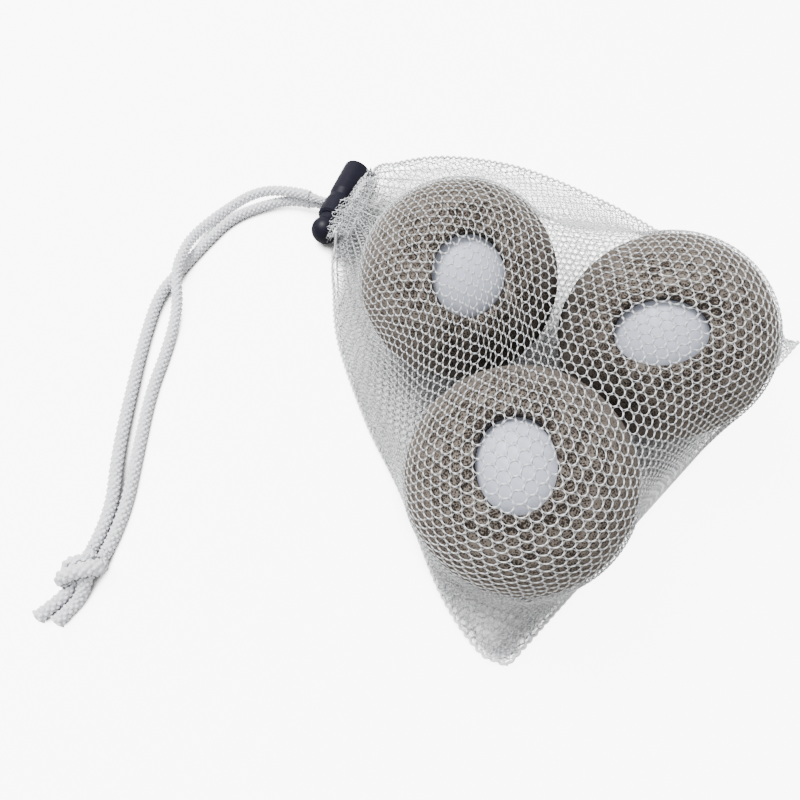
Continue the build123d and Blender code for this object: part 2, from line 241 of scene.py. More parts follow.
def yarn_material(name, colour, threads, scale, painted_groove_shade):
    """Fine filaments, with lighter and darker places, and painted shade darkening the grooves between the yarns."""
    material, tree, shader = nodes_of(name)
    place = add(tree, "ShaderNodeTexCoord").outputs["Object"]
    patch = add(tree, "ShaderNodeTexNoise", Vector=place, Scale=scale, Detail=3.0)
    fibre = add(tree, "ShaderNodeTexNoise", Vector=place, Scale=threads, Detail=2.0, Distortion=1.5)
    dark = tuple(0.92 * c for c in colour)
    tint = ramp(tree, patch.outputs["Fac"], [(0.3, dark), (0.7, colour)])
    # Painted shade: ambient occlusion over 1.2 mm darkens the colour towards the groove colour in the grooves between
    # the yarns, where less light gets in.
    groove = add(tree, "ShaderNodeAmbientOcclusion", Distance=0.0012).outputs["AO"]
    shade = ramp(tree, groove, [(0.35, painted_groove_shade), (0.85, (1, 1, 1))])
    mix = add(tree, "ShaderNodeMix", {"data_type": "RGBA", "blend_type": "MULTIPLY"}, i0=1.0, i6=tint, i7=shade)
    tree.links.new(mix.outputs[2], shader.inputs["Base Color"])
    bump = add(tree, "ShaderNodeBump", Height=fibre.outputs["Fac"], Strength=0.35, Distance=0.0002)
    tree.links.new(bump.outputs["Normal"], shader.inputs["Normal"])
    rough = add(tree, "ShaderNodeMapRange", Value=fibre.outputs["Fac"], To_Min=0.45, To_Max=0.75)
    tree.links.new(rough.outputs["Result"], shader.inputs["Roughness"])
    shader.inputs["Subsurface Weight"].default_value = 0.25
    shader.inputs["Subsurface Radius"].default_value = (0.001, 0.001, 0.001)
    shader.inputs["Sheen Weight"].default_value = 0.2
    return material


braid_white = yarn_material("braid_white", CORD_WHITE, FILAMENTS, CORD_CLOUDS, CORD_PAINTED_GROOVE_SHADE)


def make_up(piece, body, node, material=None):
    """Gives a piece its material and slot, fixes it to its body and puts it in its node's place."""
    if material is not None:
        piece.data.materials.append(material)
    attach(piece, body)
    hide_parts(node)
    return piece


def up(height):
    return Vector((0, 0, height))


def strand(which, rise, route):
    """One strand from the lock to the knot, its line, where it starts and how long it is."""
    start = LOOP_END + up(LOCK_Z + rise)
    end = KNOT_AT - knot_way * (KNOT_L / 2) + knot_across * rise + up(REST_Z)
    points = [start, start + LEAD]
    points += [LOOP_END + Vector(p) for p in route]
    points += [end - knot_way * KNOT_RUN, end]
    line = line_through(points)
    piece = make_up(braid(f"strand_{which}", line, CORD_D / 2), "bag", f"cord_strand_{which}", braid_white)
    length = float(np.linalg.norm(np.diff(line, axis=0), axis=1).sum())
    return piece, line, start, length


SIDE_STEP = {"upper": EXIT_RISE, "lower": -EXIT_RISE}
strands = {which: strand(which, SIDE_STEP[which], route)
           for which, route in (("upper", UPPER_ROUTE), ("lower", LOWER_ROUTE))}


# ---- Tails -------------------------------------------------------------------------------------
# Both ends of the cord run through the knot and come out as short tails. They are cut off square
# and melted, so they open a little and close over at the very end.

TAIL_ENDS = {"upper": (-0.157800, 0.011800, REST_Z), "lower": (-0.161000, 0.016700, REST_Z)}
TAIL_HIDDEN = 0.0006
TAIL_RUN = 0.003
TAIL_LIFT = 0.0042
FRAY = 0.0016
FRAY_OPEN = 0.22
MELTED = 0.0006


def frayed(along):
    """Radius of a tail: full size, opening a little and then closing over its cut end."""
    left = along[-1] - along
    open_ = 1 + FRAY_OPEN * np.exp(-((left / FRAY) ** 2))
    return CORD_D / 2 * open_ * np.clip(left / MELTED + 0.35, 0, 1) ** 0.5


for which, side in SIDE_STEP.items():
    come_in = KNOT_AT - knot_way * (KNOT_L / 2 + TAIL_HIDDEN) + knot_across * side + up(REST_Z)
    middle = KNOT_AT + knot_across * side * 0.8 + up(TAIL_LIFT + side * 0.6)
    go_out = KNOT_AT + knot_way * (KNOT_L / 2) + up(REST_Z) + knot_across * side
    end = Vector(TAIL_ENDS[which])
    line = line_through([come_in, come_in + knot_way * TAIL_RUN, middle, go_out, (go_out + end) / 2, end])
    tail = braid(f"tail_{which}", line, CORD_D / 2, thin=frayed)
    make_up(tail, "bag", f"cord_tail_{which}", braid_white)


# ---- Knot --------------------------------------------------------------------------------------
# Both ends of the cord are tied together in one overhand knot, pulled tight: the pair goes once
# and a half round itself, and each turn bulges where it is not squeezed.

WRAP_ACROSS = 0.0042
WRAP_UP = 0.0028
WRAP_LEAN = -0.0046
WRAP_SWELL = 1.22
WRAP_SLIM = 0.85
WRAP_TURNS = 1.9
WRAP_CREEP = 0.0066
WRAP_START = 0.6
KNOT_RISE = 0.0052

knot_middle = KNOT_AT + up(KNOT_RISE)


def wrap_line(turns, shift, phase):
    """Oval coil round the pair: across and up follow cosine and sine, it creeps along the cord and
    leans, and its two ends dive into the middle."""
    t = np.linspace(0, 1, 9 * max(1, round(turns)) + 4)
    angle = phase + 2 * math.pi * turns * t
    tuck = np.clip(np.minimum(t, 1 - t) / 0.14, 0.25, 1)
    forth = shift * (t - 0.5) + WRAP_LEAN * np.cos(angle) * 0.5
    aside, high = WRAP_ACROSS * tuck * np.cos(angle), WRAP_UP * tuck * np.sin(angle)
    return line_through([knot_middle + knot_way * f + knot_across * a + up(h)
                         for f, a, h in zip(forth.tolist(), aside.tolist(), high.tolist())])


def swollen(along):
    """A little thicker in the middle of the coil than at its tucked ends."""
    t = along / along[-1]
    return CORD_D / 2 * (WRAP_SLIM + (WRAP_SWELL - WRAP_SLIM) * np.sin(math.pi * t) ** 0.6)


knot = make_up(braid("knot", wrap_line(WRAP_TURNS, WRAP_CREEP, WRAP_START), CORD_D / 2, thin=swollen),
               "bag", "end_knot", braid_white)


# ---- Cord in the lock and the mouth ------------------------------------------------------------
# The same cord, squeezed thin inside the lock and the hem. It goes through the lock, round the
# mouth and back through the lock under itself.

HELD_R = 0.0015
STRAND_RISE = 0.00155
LOOP_TOP = 0.01565
HEM_HALF = 0.0115
TURN_OFF = 0.0035
SQUEEZE_RUN = 0.004
MOUTH_TURN = math.radians(26.0)
MOUTH_AT = Vector((0.0036, 0.063351, 0))
mouth_along = Vector((math.cos(MOUTH_TURN), math.sin(MOUTH_TURN), 0))
mouth_out = Vector((-math.sin(MOUTH_TURN), math.cos(MOUTH_TURN), 0))


def loop_line():
    """From the lock over to the mouth, up and round it in the hem, and back to the lock lower down."""
    high, low, top = up(LOCK_Z + STRAND_RISE), up(LOCK_Z - STRAND_RISE), up(LOOP_TOP)
    half, turn_off, away = mouth_along * HEM_HALF, mouth_along * TURN_OFF, mouth_out * TURN_OFF
    return line_through([
        LOOP_END + high, MOUTH_AT + away + high, MOUTH_AT + high, MOUTH_AT + turn_off + high,
        MOUTH_AT + half + high, MOUTH_AT + half + top, MOUTH_AT - half + top, MOUTH_AT - half + low,
        MOUTH_AT - turn_off + low, MOUTH_AT + low, MOUTH_AT + away + low, LOOP_END + low,
    ])


def squeezed(along):
    """Thin in the hem and the lock, and back to its own thickness over the last 4 mm."""
    left = np.minimum(along, along[-1] - along)
    return HELD_R + (CORD_D / 2 - HELD_R) * np.clip(1 - left / SQUEEZE_RUN, 0, 1) ** 1.3


make_up(braid("drawcord_in_mouth", loop_line(), HELD_R, thin=squeezed), "bag", "drawcord_loop", braid_white)


# ---- Cord lock ---------------------------------------------------------------------------------
# A barrel with a round-ended plunger in it, both moulded in very dark blue plastic with a fine
# satin grain. A coil spring of bright wire inside pushes the plunger out: one end stays with the
# barrel, the other goes in with the plunger, and its turns close up between them. The script puts
# the wire on the CAD spring's mesh and copies it as it stands, without moving its ends.

LOCK_BLUE = (0.0022, 0.0021, 0.0085)
WIRE_DARK = (0.42, 0.42, 0.43)
WIRE_BRIGHT = (0.62, 0.62, 0.63)


def moulded_plastic(name, colour):
    """Satin plastic: fine spark-eroded grain, and faint lighter scuffs in patches."""
    material, tree, shader = nodes_of(name)
    place = add(tree, "ShaderNodeTexCoord").outputs["Object"]
    grain = add(tree, "ShaderNodeTexNoise", Vector=place, Scale=5200.0, Detail=2.0)
    patch = add(tree, "ShaderNodeTexNoise", Vector=place, Scale=340.0, Detail=4.0)
    scuffed = tuple(1.6 * c for c in colour)
    tree.links.new(ramp(tree, patch.outputs["Fac"], [(0.5, colour), (0.75, scuffed)]), shader.inputs["Base Color"])
    rough = add(tree, "ShaderNodeMapRange", Value=patch.outputs["Fac"], To_Min=0.36, To_Max=0.56)
    tree.links.new(rough.outputs["Result"], shader.inputs["Roughness"])
    bump = add(tree, "ShaderNodeBump", Height=grain.outputs["Fac"], Strength=0.15, Distance=0.0001)
    tree.links.new(bump.outputs["Normal"], shader.inputs["Normal"])
    shader.inputs["Specular IOR Level"].default_value = 0.18
    return material


def put_on(node, material):
    """Gives a CAD node's object another material in its slots."""
    piece = bpy.data.objects[node]
    for slot in piece.material_slots:
        slot.material = material


lock_blue = moulded_plastic("lock_blue", LOCK_BLUE)
put_on("cord_lock_barrel", lock_blue)
put_on("cord_lock_plunger", lock_blue)
wire, tree, shader = nodes_of("spring_wire")
place = add(tree, "ShaderNodeTexCoord").outputs["Object"]
draw = add(tree, "ShaderNodeTexNoise", Vector=place, Scale=2500.0)
tree.links.new(ramp(tree, draw.outputs["Fac"], [(0.3, WIRE_DARK), (0.7, WIRE_BRIGHT)]), shader.inputs["Base Color"])
shader.inputs["Metallic"].default_value = 1.0
shader.inputs["Roughness"].default_value = 0.3
put_on("cord_lock_spring", wire)

cad_spring = bpy.data.objects["cord_lock_spring"]
coil = bpy.data.objects.new("lock_spring", cad_spring.data.copy())
coil.data.transform(cad_spring.matrix_world)
bpy.context.collection.objects.link(coil)
coil_points = np.empty(len(coil.data.vertices) * 3)
coil.data.vertices.foreach_get("co", coil_points)
coil_points = coil_points.reshape(-1, 3)
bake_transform(coil)
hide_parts("cord_lock_spring")


# ---- Balls -------------------------------------------------------------------------------------
# Each ball is a shell of warm grey open-cell foam, moulded round a hard white core that shows
# through an oval mouth. Near the mouth the foam's pores are open, and further off they close.

BALL_R = 0.030
CORE_R = 0.018
CORE_RISE = 0.0085
SEAT_GAP = 0.00008
LIP_R = 0.0016
UNEVEN = 0.00022
FOAM_GREY = (0.215, 0.186, 0.160)
PORE_DARK = (0.022, 0.017, 0.014)
CORE_WHITE = (0.60, 0.63, 0.74)
BIG_PORES = 1900.0
SMALL_PORES = 3400.0
FOAM_CLOUDS = 240.0
FOAM_GRAIN = 3000.0
# Colour of the painted shade in the crevices between the balls.
PAINTED_CREVICE_SHADE = (0.10, 0.09, 0.09)
MOUTH_ACROSS = np.array((0.72, -0.69, 0.0))
FACES = {
    "1": ((-0.38, -0.43, 0.82), 0.0200, 0.0225),
    "2": ((-0.60, -0.07, 0.80), 0.0235, 0.0170),
    "3": ((-0.30, -0.03, 0.95), 0.0185, 0.0230),
}


def foam_shell(name, centre, facing, width, height):
    """Closed shell turned about the way it faces, with the oval's radius at each angle: from the
    back of the core's seat round to the mouth, up its wall, over a rounded lip and round the ball.
    Slow sines make it a little uneven."""
    axis = unit(np.array(facing))
    first = unit(MOUTH_ACROSS - axis * (MOUTH_ACROSS @ axis))
    second = np.cross(axis, first)
    around = np.linspace(0, 2 * math.pi, 240, endpoint=False)
    oval = 1 / np.sqrt((np.cos(around) / (width / 2)) ** 2 + (np.sin(around) / (height / 2)) ** 2)
    seat_r = CORE_R + SEAT_GAP

    swing = math.pi - (math.pi - np.arcsin(oval / seat_r)) * np.linspace(0.001, 1, 14)[:, None]
    seat = np.stack([seat_r * np.sin(swing), CORE_RISE + seat_r * np.cos(swing)], axis=-1)
    lip_at = np.arcsin((oval + LIP_R) / (BALL_R - LIP_R))
    lip_h = (BALL_R - LIP_R) * np.cos(lip_at)
    low_h = CORE_RISE + np.sqrt(seat_r**2 - oval**2)
    share = np.linspace(0.1, 0.95, 8)[:, None]
    wall = np.stack([np.broadcast_to(oval, (8, len(around))), low_h + (lip_h - low_h) * share], axis=-1)
    bend = math.pi - (math.pi / 2 + lip_at) * np.linspace(0, 1, 9)[:, None]
    lip = np.stack([oval + LIP_R + LIP_R * np.cos(bend), lip_h + LIP_R * np.sin(bend)], axis=-1)
    polar = lip_at + (math.pi - 0.0005 - lip_at) * np.linspace(0.012, 1, 150)[:, None] ** 1.15
    skin = np.stack([BALL_R * np.sin(polar), BALL_R * np.cos(polar)], axis=-1)
    profile = np.concatenate([seat, wall, lip, skin])
    across = np.cos(around)[:, None] * first + np.sin(around)[:, None] * second
    grid = profile[..., :1] * across + profile[..., 1:] * axis
    swell = (np.sin(grid[..., 0] * 410 + 1.3 * np.sin(grid[..., 1] * 260)) * np.sin(grid[..., 1] * 370)
             * np.sin(grid[..., 2] * 330 + 0.8))
    outside = np.concatenate([np.zeros(len(seat) + len(wall)), np.linspace(0, 1, len(lip)), np.ones(len(skin))])
    grid = grid - unit(grid) * (UNEVEN * (0.5 + 0.5 * swell) * outside[:, None])[..., None]
    inside = np.zeros((len(seat) + len(wall) + len(lip), len(around)))
    from_mouth = np.concatenate([inside, (polar - lip_at) / math.pi])
    uv = np.stack([np.broadcast_to(around / (2 * math.pi), from_mouth.shape), from_mouth], axis=-1)
    return surface(name, grid + centre, uv, round_=True, ends=True)


def foam_material():
    """Warm grey foam: pores are the middles of small random cells, kept where a wide noise and the
    distance from the mouth (the UV map's second number) leave them open. Painted shade darkens the
    colour where the other balls and the net stand close, in the crevices between the balls."""
    material, tree, shader = nodes_of("foam_grey")
    coords = add(tree, "ShaderNodeTexCoord")
    place = coords.outputs["Object"]
    mouth = add(tree, "ShaderNodeSeparateXYZ", Vector=coords.outputs["UV"]).outputs["Y"]
    cells = add(tree, "ShaderNodeTexVoronoi", Vector=place, Scale=BIG_PORES, Randomness=1.0)
    spots = add(tree, "ShaderNodeTexVoronoi", Vector=place, Scale=SMALL_PORES, Randomness=1.0)
    cloud = add(tree, "ShaderNodeTexNoise", Vector=place, Scale=FOAM_CLOUDS, Detail=3.0)
    grain = add(tree, "ShaderNodeTexNoise", Vector=place, Scale=FOAM_GRAIN, Detail=2.0)
    closing = add(tree, "ShaderNodeMapRange", Value=mouth, From_Max=0.36, To_Min=0.88, To_Max=0.32)
    size = add(tree, "ShaderNodeMath", {"operation": "MULTIPLY"}, i0=closing.outputs["Result"],
               i1=cloud.outputs["Fac"]).outputs["Value"]
    big = add(tree, "ShaderNodeMath", {"operation": "SUBTRACT"}, i0=cells.outputs["Distance"], i1=size)
    big = add(tree, "ShaderNodeMapRange", Value=big.outputs["Value"], From_Min=0.0, From_Max=0.12, To_Min=0.0)
    small = add(tree, "ShaderNodeMath", {"operation": "SUBTRACT"}, i0=spots.outputs["Distance"], i1=size)
    small = add(tree, "ShaderNodeMapRange", Value=small.outputs["Value"], From_Min=-0.05, From_Max=0.14, To_Min=0.45)
    whole = add(tree, "ShaderNodeMath", {"operation": "MULTIPLY"}, i0=big.outputs["Result"], i1=small.outputs["Result"])
    skin = ramp(tree, cloud.outputs["Fac"], [(0.3, tuple(0.86 * c for c in FOAM_GREY)), (0.72, FOAM_GREY)])
    mix = add(tree, "ShaderNodeMix", {"data_type": "RGBA"}, Factor=whole.outputs["Value"])
    mix.inputs[6].default_value = (*PORE_DARK, 1)
    tree.links.new(skin, mix.inputs[7])
    # Painted shade: ambient occlusion over 3 cm darkens the foam's colour, down to the crevice colour, where the other
    # balls and the net stand close.
    deep = add(tree, "ShaderNodeAmbientOcclusion", Distance=0.03).outputs["AO"]
    shade = ramp(tree, deep, [(0.12, PAINTED_CREVICE_SHADE), (0.62, (1, 1, 1))])
    dim = add(tree, "ShaderNodeMix", {"data_type": "RGBA", "blend_type": "MULTIPLY"}, i0=1.0, i6=mix.outputs[2],
              i7=shade)
    tree.links.new(dim.outputs[2], shader.inputs["Base Color"])
    height = add(tree, "ShaderNodeMath", {"operation": "MULTIPLY_ADD"}, i0=grain.outputs["Fac"], i1=0.25,
                 i2=whole.outputs["Value"])
    bump = add(tree, "ShaderNodeBump", Height=height.outputs["Value"], Strength=0.7, Distance=0.0004)
    tree.links.new(bump.outputs["Normal"], shader.inputs["Normal"])
    shader.inputs["Roughness"].default_value = 0.95
    shader.inputs["Specular IOR Level"].default_value = 0.15
    return material


foam_grey = foam_material()
core_white, tree, shader = nodes_of("core_white")
place = add(tree, "ShaderNodeTexCoord").outputs["Object"]
cloud = add(tree, "ShaderNodeTexNoise", Vector=place, Scale=120.0, Detail=3.0)
tree.links.new(ramp(tree, cloud.outputs["Fac"], [(0.3, tuple(0.95 * c for c in CORE_WHITE)), (0.7, CORE_WHITE)]),
               shader.inputs["Base Color"])
bump = add(tree, "ShaderNodeBump", Height=cloud.outputs["Fac"], Strength=0.12, Distance=0.0004)
tree.links.new(bump.outputs["Normal"], shader.inputs["Normal"])
shader.inputs["Roughness"].default_value = 0.5
shader.inputs["Subsurface Weight"].default_value = 0.2
shader.inputs["Subsurface Radius"].default_value = (0.002, 0.002, 0.002)
balls = []
for number, (facing, width, height) in FACES.items():
    centre = sum(map(np.array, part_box(f"ball_{number}_foam"))) / 2
    balls.append(centre)
    foam = foam_shell(f"foam_{number}", centre, facing, width, height)
    make_up(foam, f"ball_{number}", f"ball_{number}_foam", foam_grey)
    put_on(f"ball_{number}_core", core_white)
balls = np.array(balls)


# ---- Net ---------------------------------------------------------------------------------------
# One rectangle of white warp-knitted polyester net for the top and one for the back, sewn together
# round three sides. Its hexagonal cells are 2.9 mm apart. The balls hold it up, the draw cord
# gathers it at the mouth, and the rest lies slack on the table.

BAG_W = 0.218
BAG_L = 0.205
CELL_W = 0.0029
CELL_ROW = 0.0025
PILLAR_HALF = 0.00083
PEAK = CELL_ROW - PILLAR_HALF
HOLE_TO_PILLAR = 0.00123
HOLE_TO_SLANT = 0.00123
EYELET = 0.00020
THREAD_RISE = 0.00020
WOBBLE = 0.00009
MOST_DRAWN = 0.3
STITCHES = 2
SPREAD_W = 56
SPREAD_L = 61
PLEAT = 0.0150
PLEAT_DEEP = 0.07
MOUTH_TAKE = 0.17
BACK_TAKE = 0.85
MOUTH_REACH = 0.080
NET_WHITE = (0.86, 0.87, 0.88)
# Colour of the painted shade in the grooves between the net's threads.
NET_PAINTED_GROOVE_SHADE = (0.50, 0.51, 0.54)
NET_FILAMENTS = 6500.0
NET_CLOUDS = 180.0
LEFT_LINE = [(-0.0148, 0.0546), (-0.0195, 0.0520), (-0.0260, 0.0450), (-0.0399, 0.0264), (-0.0536, -0.0027),
             (-0.0621, -0.0272), (-0.0746, -0.0565), (-0.0782, -0.0750), (-0.0755, -0.0818)]
RIGHT_LINE = [(0.0151, 0.0690), (0.0240, 0.0752), (0.0352, 0.0742), (0.0520, 0.0622), (0.0680, 0.0385),
              (0.0772, 0.0063), (0.0803, -0.0191), (0.0806, -0.0449), (0.0788, -0.0660), (0.0730, -0.0768),
              (0.0694, -0.0812)]
BOTTOM_LINE = -0.0828
MOUTH_LEFT = 0.0205
MOUTH_RIGHT = 0.0128
UPPER_RUN = 0.0165
LOWER_RUN = 0.0044
EDGE_Z = 0.0035
FREE_AT_MOUTH = 6
NET_CLEAR = 0.0007
TOP_LOWEST = 0.0014
BACK_LOWEST = 0.0006
PANEL_GAP = 0.0008
GRID_LOWEST = 0.0005
LEAST_SPREAD = 0.12

CARRY = 0.93
FALL = 0.8e-5
DRAW_ACROSS = 0.7
DRAW_DOWN = 0.9
DRAW_SLANT = 0.12
SLACK_SLANT = 0.02
SLACK = 0.01
OPEN_ON_BALL = 0.33
EVEN_OUT = 0.2
TO_LINE = 0.8
TO_EDGE_Z = 0.25


def on_curve(points, at):
    """Catmull-Rom curve through points at the places at, counted in points: a cubic between each two
    that has there the slope from the point before to the point after."""
    padded = np.concatenate([2 * points[:1] - points[1:2], points, 2 * points[-1:] - points[-2:-1]])
    k = np.minimum(at.astype(int), len(points) - 2)
    f = (at - k).reshape(-1, *[1] * (points.ndim - 1))
    a, b, c, d = (padded[k + m] for m in range(4))
    return 0.5 * (2 * b + (c - a) * f + (2 * a - 5 * b + 4 * c - d) * f**2 + (3 * b - a - 3 * c + d) * f**3)


def smooth_line(points, count):
    """count points, evenly apart, on the Catmull-Rom curve through points."""
    points = np.array(points)
    line = on_curve(points, np.linspace(0, len(points) - 1, 400))
    at = np.append(0, np.cumsum(np.linalg.norm(np.diff(line, axis=0), axis=1)))
    want = np.linspace(0, at[-1], count)
    return np.stack([np.interp(want, at, line[:, k]) for k in range(points.shape[1])], axis=1)


def taken_up(v):
    """Share of the flat width that is left at v from the mouth; the rest is drawn up on the cord."""
    return 1 - (1 - MOUTH_TAKE) * np.clip(1 - v / MOUTH_REACH, 0, 1) ** 1.6


def from_ball(points, ball):
    """Way and distance from a ball's middle to each point."""
    away = points - ball
    return away, np.sqrt((away * away).sum(-1, keepdims=True))


def pull(a, b, rest, out, back):
    """Moves the ends of threads a-b towards their rest length, by the share out of what they are too
    long, or back of what they are too short."""
    way = b - a
    length = np.sqrt((way * way).sum(-1, keepdims=True)) + 1e-9
    off = (length - rest) / length
    move = 0.5 * np.where(off > 0, out, back) * off * way
    a += move
    b -= move


def drape(steps):
    """Top and back panel as two grids of points, let settle: each step carries them on, lets them
    fall a little, draws the threads to length and puts them back outside balls, table and each other.
    Threads that are too short open out again where they lie on a ball, and hardly do elsewhere. Each
    point also goes a share of the way to the mean of its four neighbours, and on a ball only as far
    as that leads off the ball, so that the net spans from ball to ball."""
    left, right = smooth_line(LEFT_LINE, SPREAD_L), smooth_line(RIGHT_LINE, SPREAD_L)
    across = np.linspace(0, 1, SPREAD_W)[None, :, None]
    down = np.linspace(0, 1, SPREAD_L)[:, None, None]
    flat = left[:, None] * (1 - across) + right[:, None] * across
    mouth = np.array(MOUTH_AT.xy) + np.array(mouth_along.xy) * np.linspace(-MOUTH_LEFT, MOUTH_RIGHT, SPREAD_W)[:, None]
    flat = flat + np.clip(1 - down / 0.25, 0, 1) ** 2 * (mouth - flat[:1])
    cloth = np.zeros((2, SPREAD_L, SPREAD_W, 3))
    cloth[..., :2] = flat
    reach = BALL_R + NET_CLEAR
    off = np.linalg.norm(flat[:, :, None] - balls[:, :2], axis=-1)
    dome = balls[0, 2] + np.sqrt(np.clip(reach**2 - off**2, 0, None))
    cloth[0, ..., 2] = np.maximum(0.011, np.where(off < reach, dome, 0).max(axis=-1))
    cloth[1, ..., 2] = 0.001
    cloth += np.random.default_rng(5).normal(0, 0.0004, cloth.shape)
    wide, long = BAG_W / (SPREAD_W - 1), BAG_L / (SPREAD_L - 1)
    share = taken_up(np.linspace(0, BAG_L, SPREAD_L))
    panel_share = np.array((1.0, BACK_TAKE))[:, None, None, None]
    rest_w = panel_share * np.broadcast_to((wide * share)[None, :, None, None], (1, SPREAD_L, SPREAD_W - 1, 1))
    slant = np.hypot(wide * (share[1:] + share[:-1]) / 2, long)
    rest_s = np.broadcast_to(slant[None, :, None, None], (1, SPREAD_L - 1, SPREAD_W - 1, 1))
    old = cloth.copy()
    on_ball = np.zeros((*cloth.shape[:3], 1))
    outward = np.zeros_like(cloth)
    for _ in range(steps):
        cloth, old = cloth + (cloth - old) * CARRY, cloth.copy()
        cloth[..., 2] -= FALL
        for o in (0, 1):
            back = SLACK + OPEN_ON_BALL * np.minimum(on_ball[:, :, o:-1:2], on_ball[:, :, o + 1::2])
            pull(cloth[:, :, o:-1:2], cloth[:, :, o + 1::2], rest_w[:, :, o::2], DRAW_ACROSS, back)
            back = SLACK + OPEN_ON_BALL * np.minimum(on_ball[:, o:-1:2], on_ball[:, o + 1::2])
            pull(cloth[:, o:-1:2], cloth[:, o + 1::2], long, DRAW_DOWN, back)
            pull(cloth[:, o:-1:2, :-1], cloth[:, o + 1::2, 1:], rest_s[:, o::2], DRAW_SLANT, SLACK_SLANT)
            pull(cloth[:, o:-1:2, 1:], cloth[:, o + 1::2, :-1], rest_s[:, o::2], DRAW_SLANT, SLACK_SLANT)
        mean = (cloth[:, :-2, 1:-1] + cloth[:, 2:, 1:-1] + cloth[:, 1:-1, :-2] + cloth[:, 1:-1, 2:]) / 4
        go = mean - cloth[:, 1:-1, 1:-1]
        held, out = on_ball[:, 1:-1, 1:-1], outward[:, 1:-1, 1:-1]
        lift = np.clip((go * out).sum(-1, keepdims=True), 0, None) * out
        cloth[:, 1:-1, 1:-1] += EVEN_OUT * ((1 - held) * go + held * lift)
        for edge in ((slice(None), 0), (slice(None), -1), (-1, slice(None))):
            middle = (cloth[0][edge] + cloth[1][edge]) / 2
            cloth[0][edge] = middle
            cloth[1][edge] = middle
        for line, col in ((left, 0), (right, -1)):
            cloth[:, 1:, col, :2] += TO_LINE * (line[None, 1:] - cloth[:, 1:, col, :2])
        cloth[:, -1, :, 1] += TO_LINE * (BOTTOM_LINE - cloth[:, -1, :, 1])
        for edge in (cloth[:, FREE_AT_MOUTH:, 0], cloth[:, FREE_AT_MOUTH:, -1], cloth[:, -1]):
            edge[..., 2] += TO_EDGE_Z * (EDGE_Z - edge[..., 2])
        on_ball[:] = 0
        for ball in balls:
            away, length = from_ball(cloth, ball)
            near = length < reach * 1.02
            outward = np.where(near, away / np.maximum(length, 1e-9), outward)
            on_ball = np.maximum(on_ball, near)
            cloth = np.where(length < reach, ball + away * (reach / np.maximum(length, 1e-9)), cloth)
        cloth[1, ..., 2] = np.maximum(cloth[1, ..., 2], BACK_LOWEST)
        cloth[0, ..., 2] = np.maximum(cloth[0, ..., 2], TOP_LOWEST)
        top_z, back_z = cloth[0, 1:-1, 1:-1, 2], cloth[1, 1:-1, 1:-1, 2]
        apart = np.clip(back_z + PANEL_GAP - top_z, 0, None) / 2
        top_z += apart
        back_z -= apart
        for panel, height in ((0, UPPER_RUN), (1, LOWER_RUN)):
            cloth[panel, 0, :, :2] = mouth
            cloth[panel, 0, :, 2] = height
    return cloth


def finer(grid, times):
    """The same grid with times as many steps each way, on Catmull-Rom curves."""
    for axis in (0, 1):
        steps = grid.shape[axis] - 1
        lines = on_curve(np.moveaxis(grid, axis, 0), np.linspace(0, steps, steps * times + 1))
        grid = np.moveaxis(lines, 0, axis)
    return grid


def grid_normals(grid):
    """Way out of the surface at each point of a grid: across its columns and rows."""
    return unit(np.cross(np.gradient(grid, axis=1), np.gradient(grid, axis=0)))


def look_up(grid, u, v):
    """Value of a fine grid at the shares u across it and v down it, between its points."""
    x, y = u * (grid.shape[1] - 1), v * (grid.shape[0] - 1)
    i, j = np.clip(x.astype(int), 0, grid.shape[1] - 2), np.clip(y.astype(int), 0, grid.shape[0] - 2)
    fx, fy = (x - i)[..., None], (y - j)[..., None]
    return (grid[j, i] * (1 - fx) + grid[j, i + 1] * fx) * (1 - fy) + (
        grid[j + 1, i] * (1 - fx) + grid[j + 1, i + 1] * fx) * fy


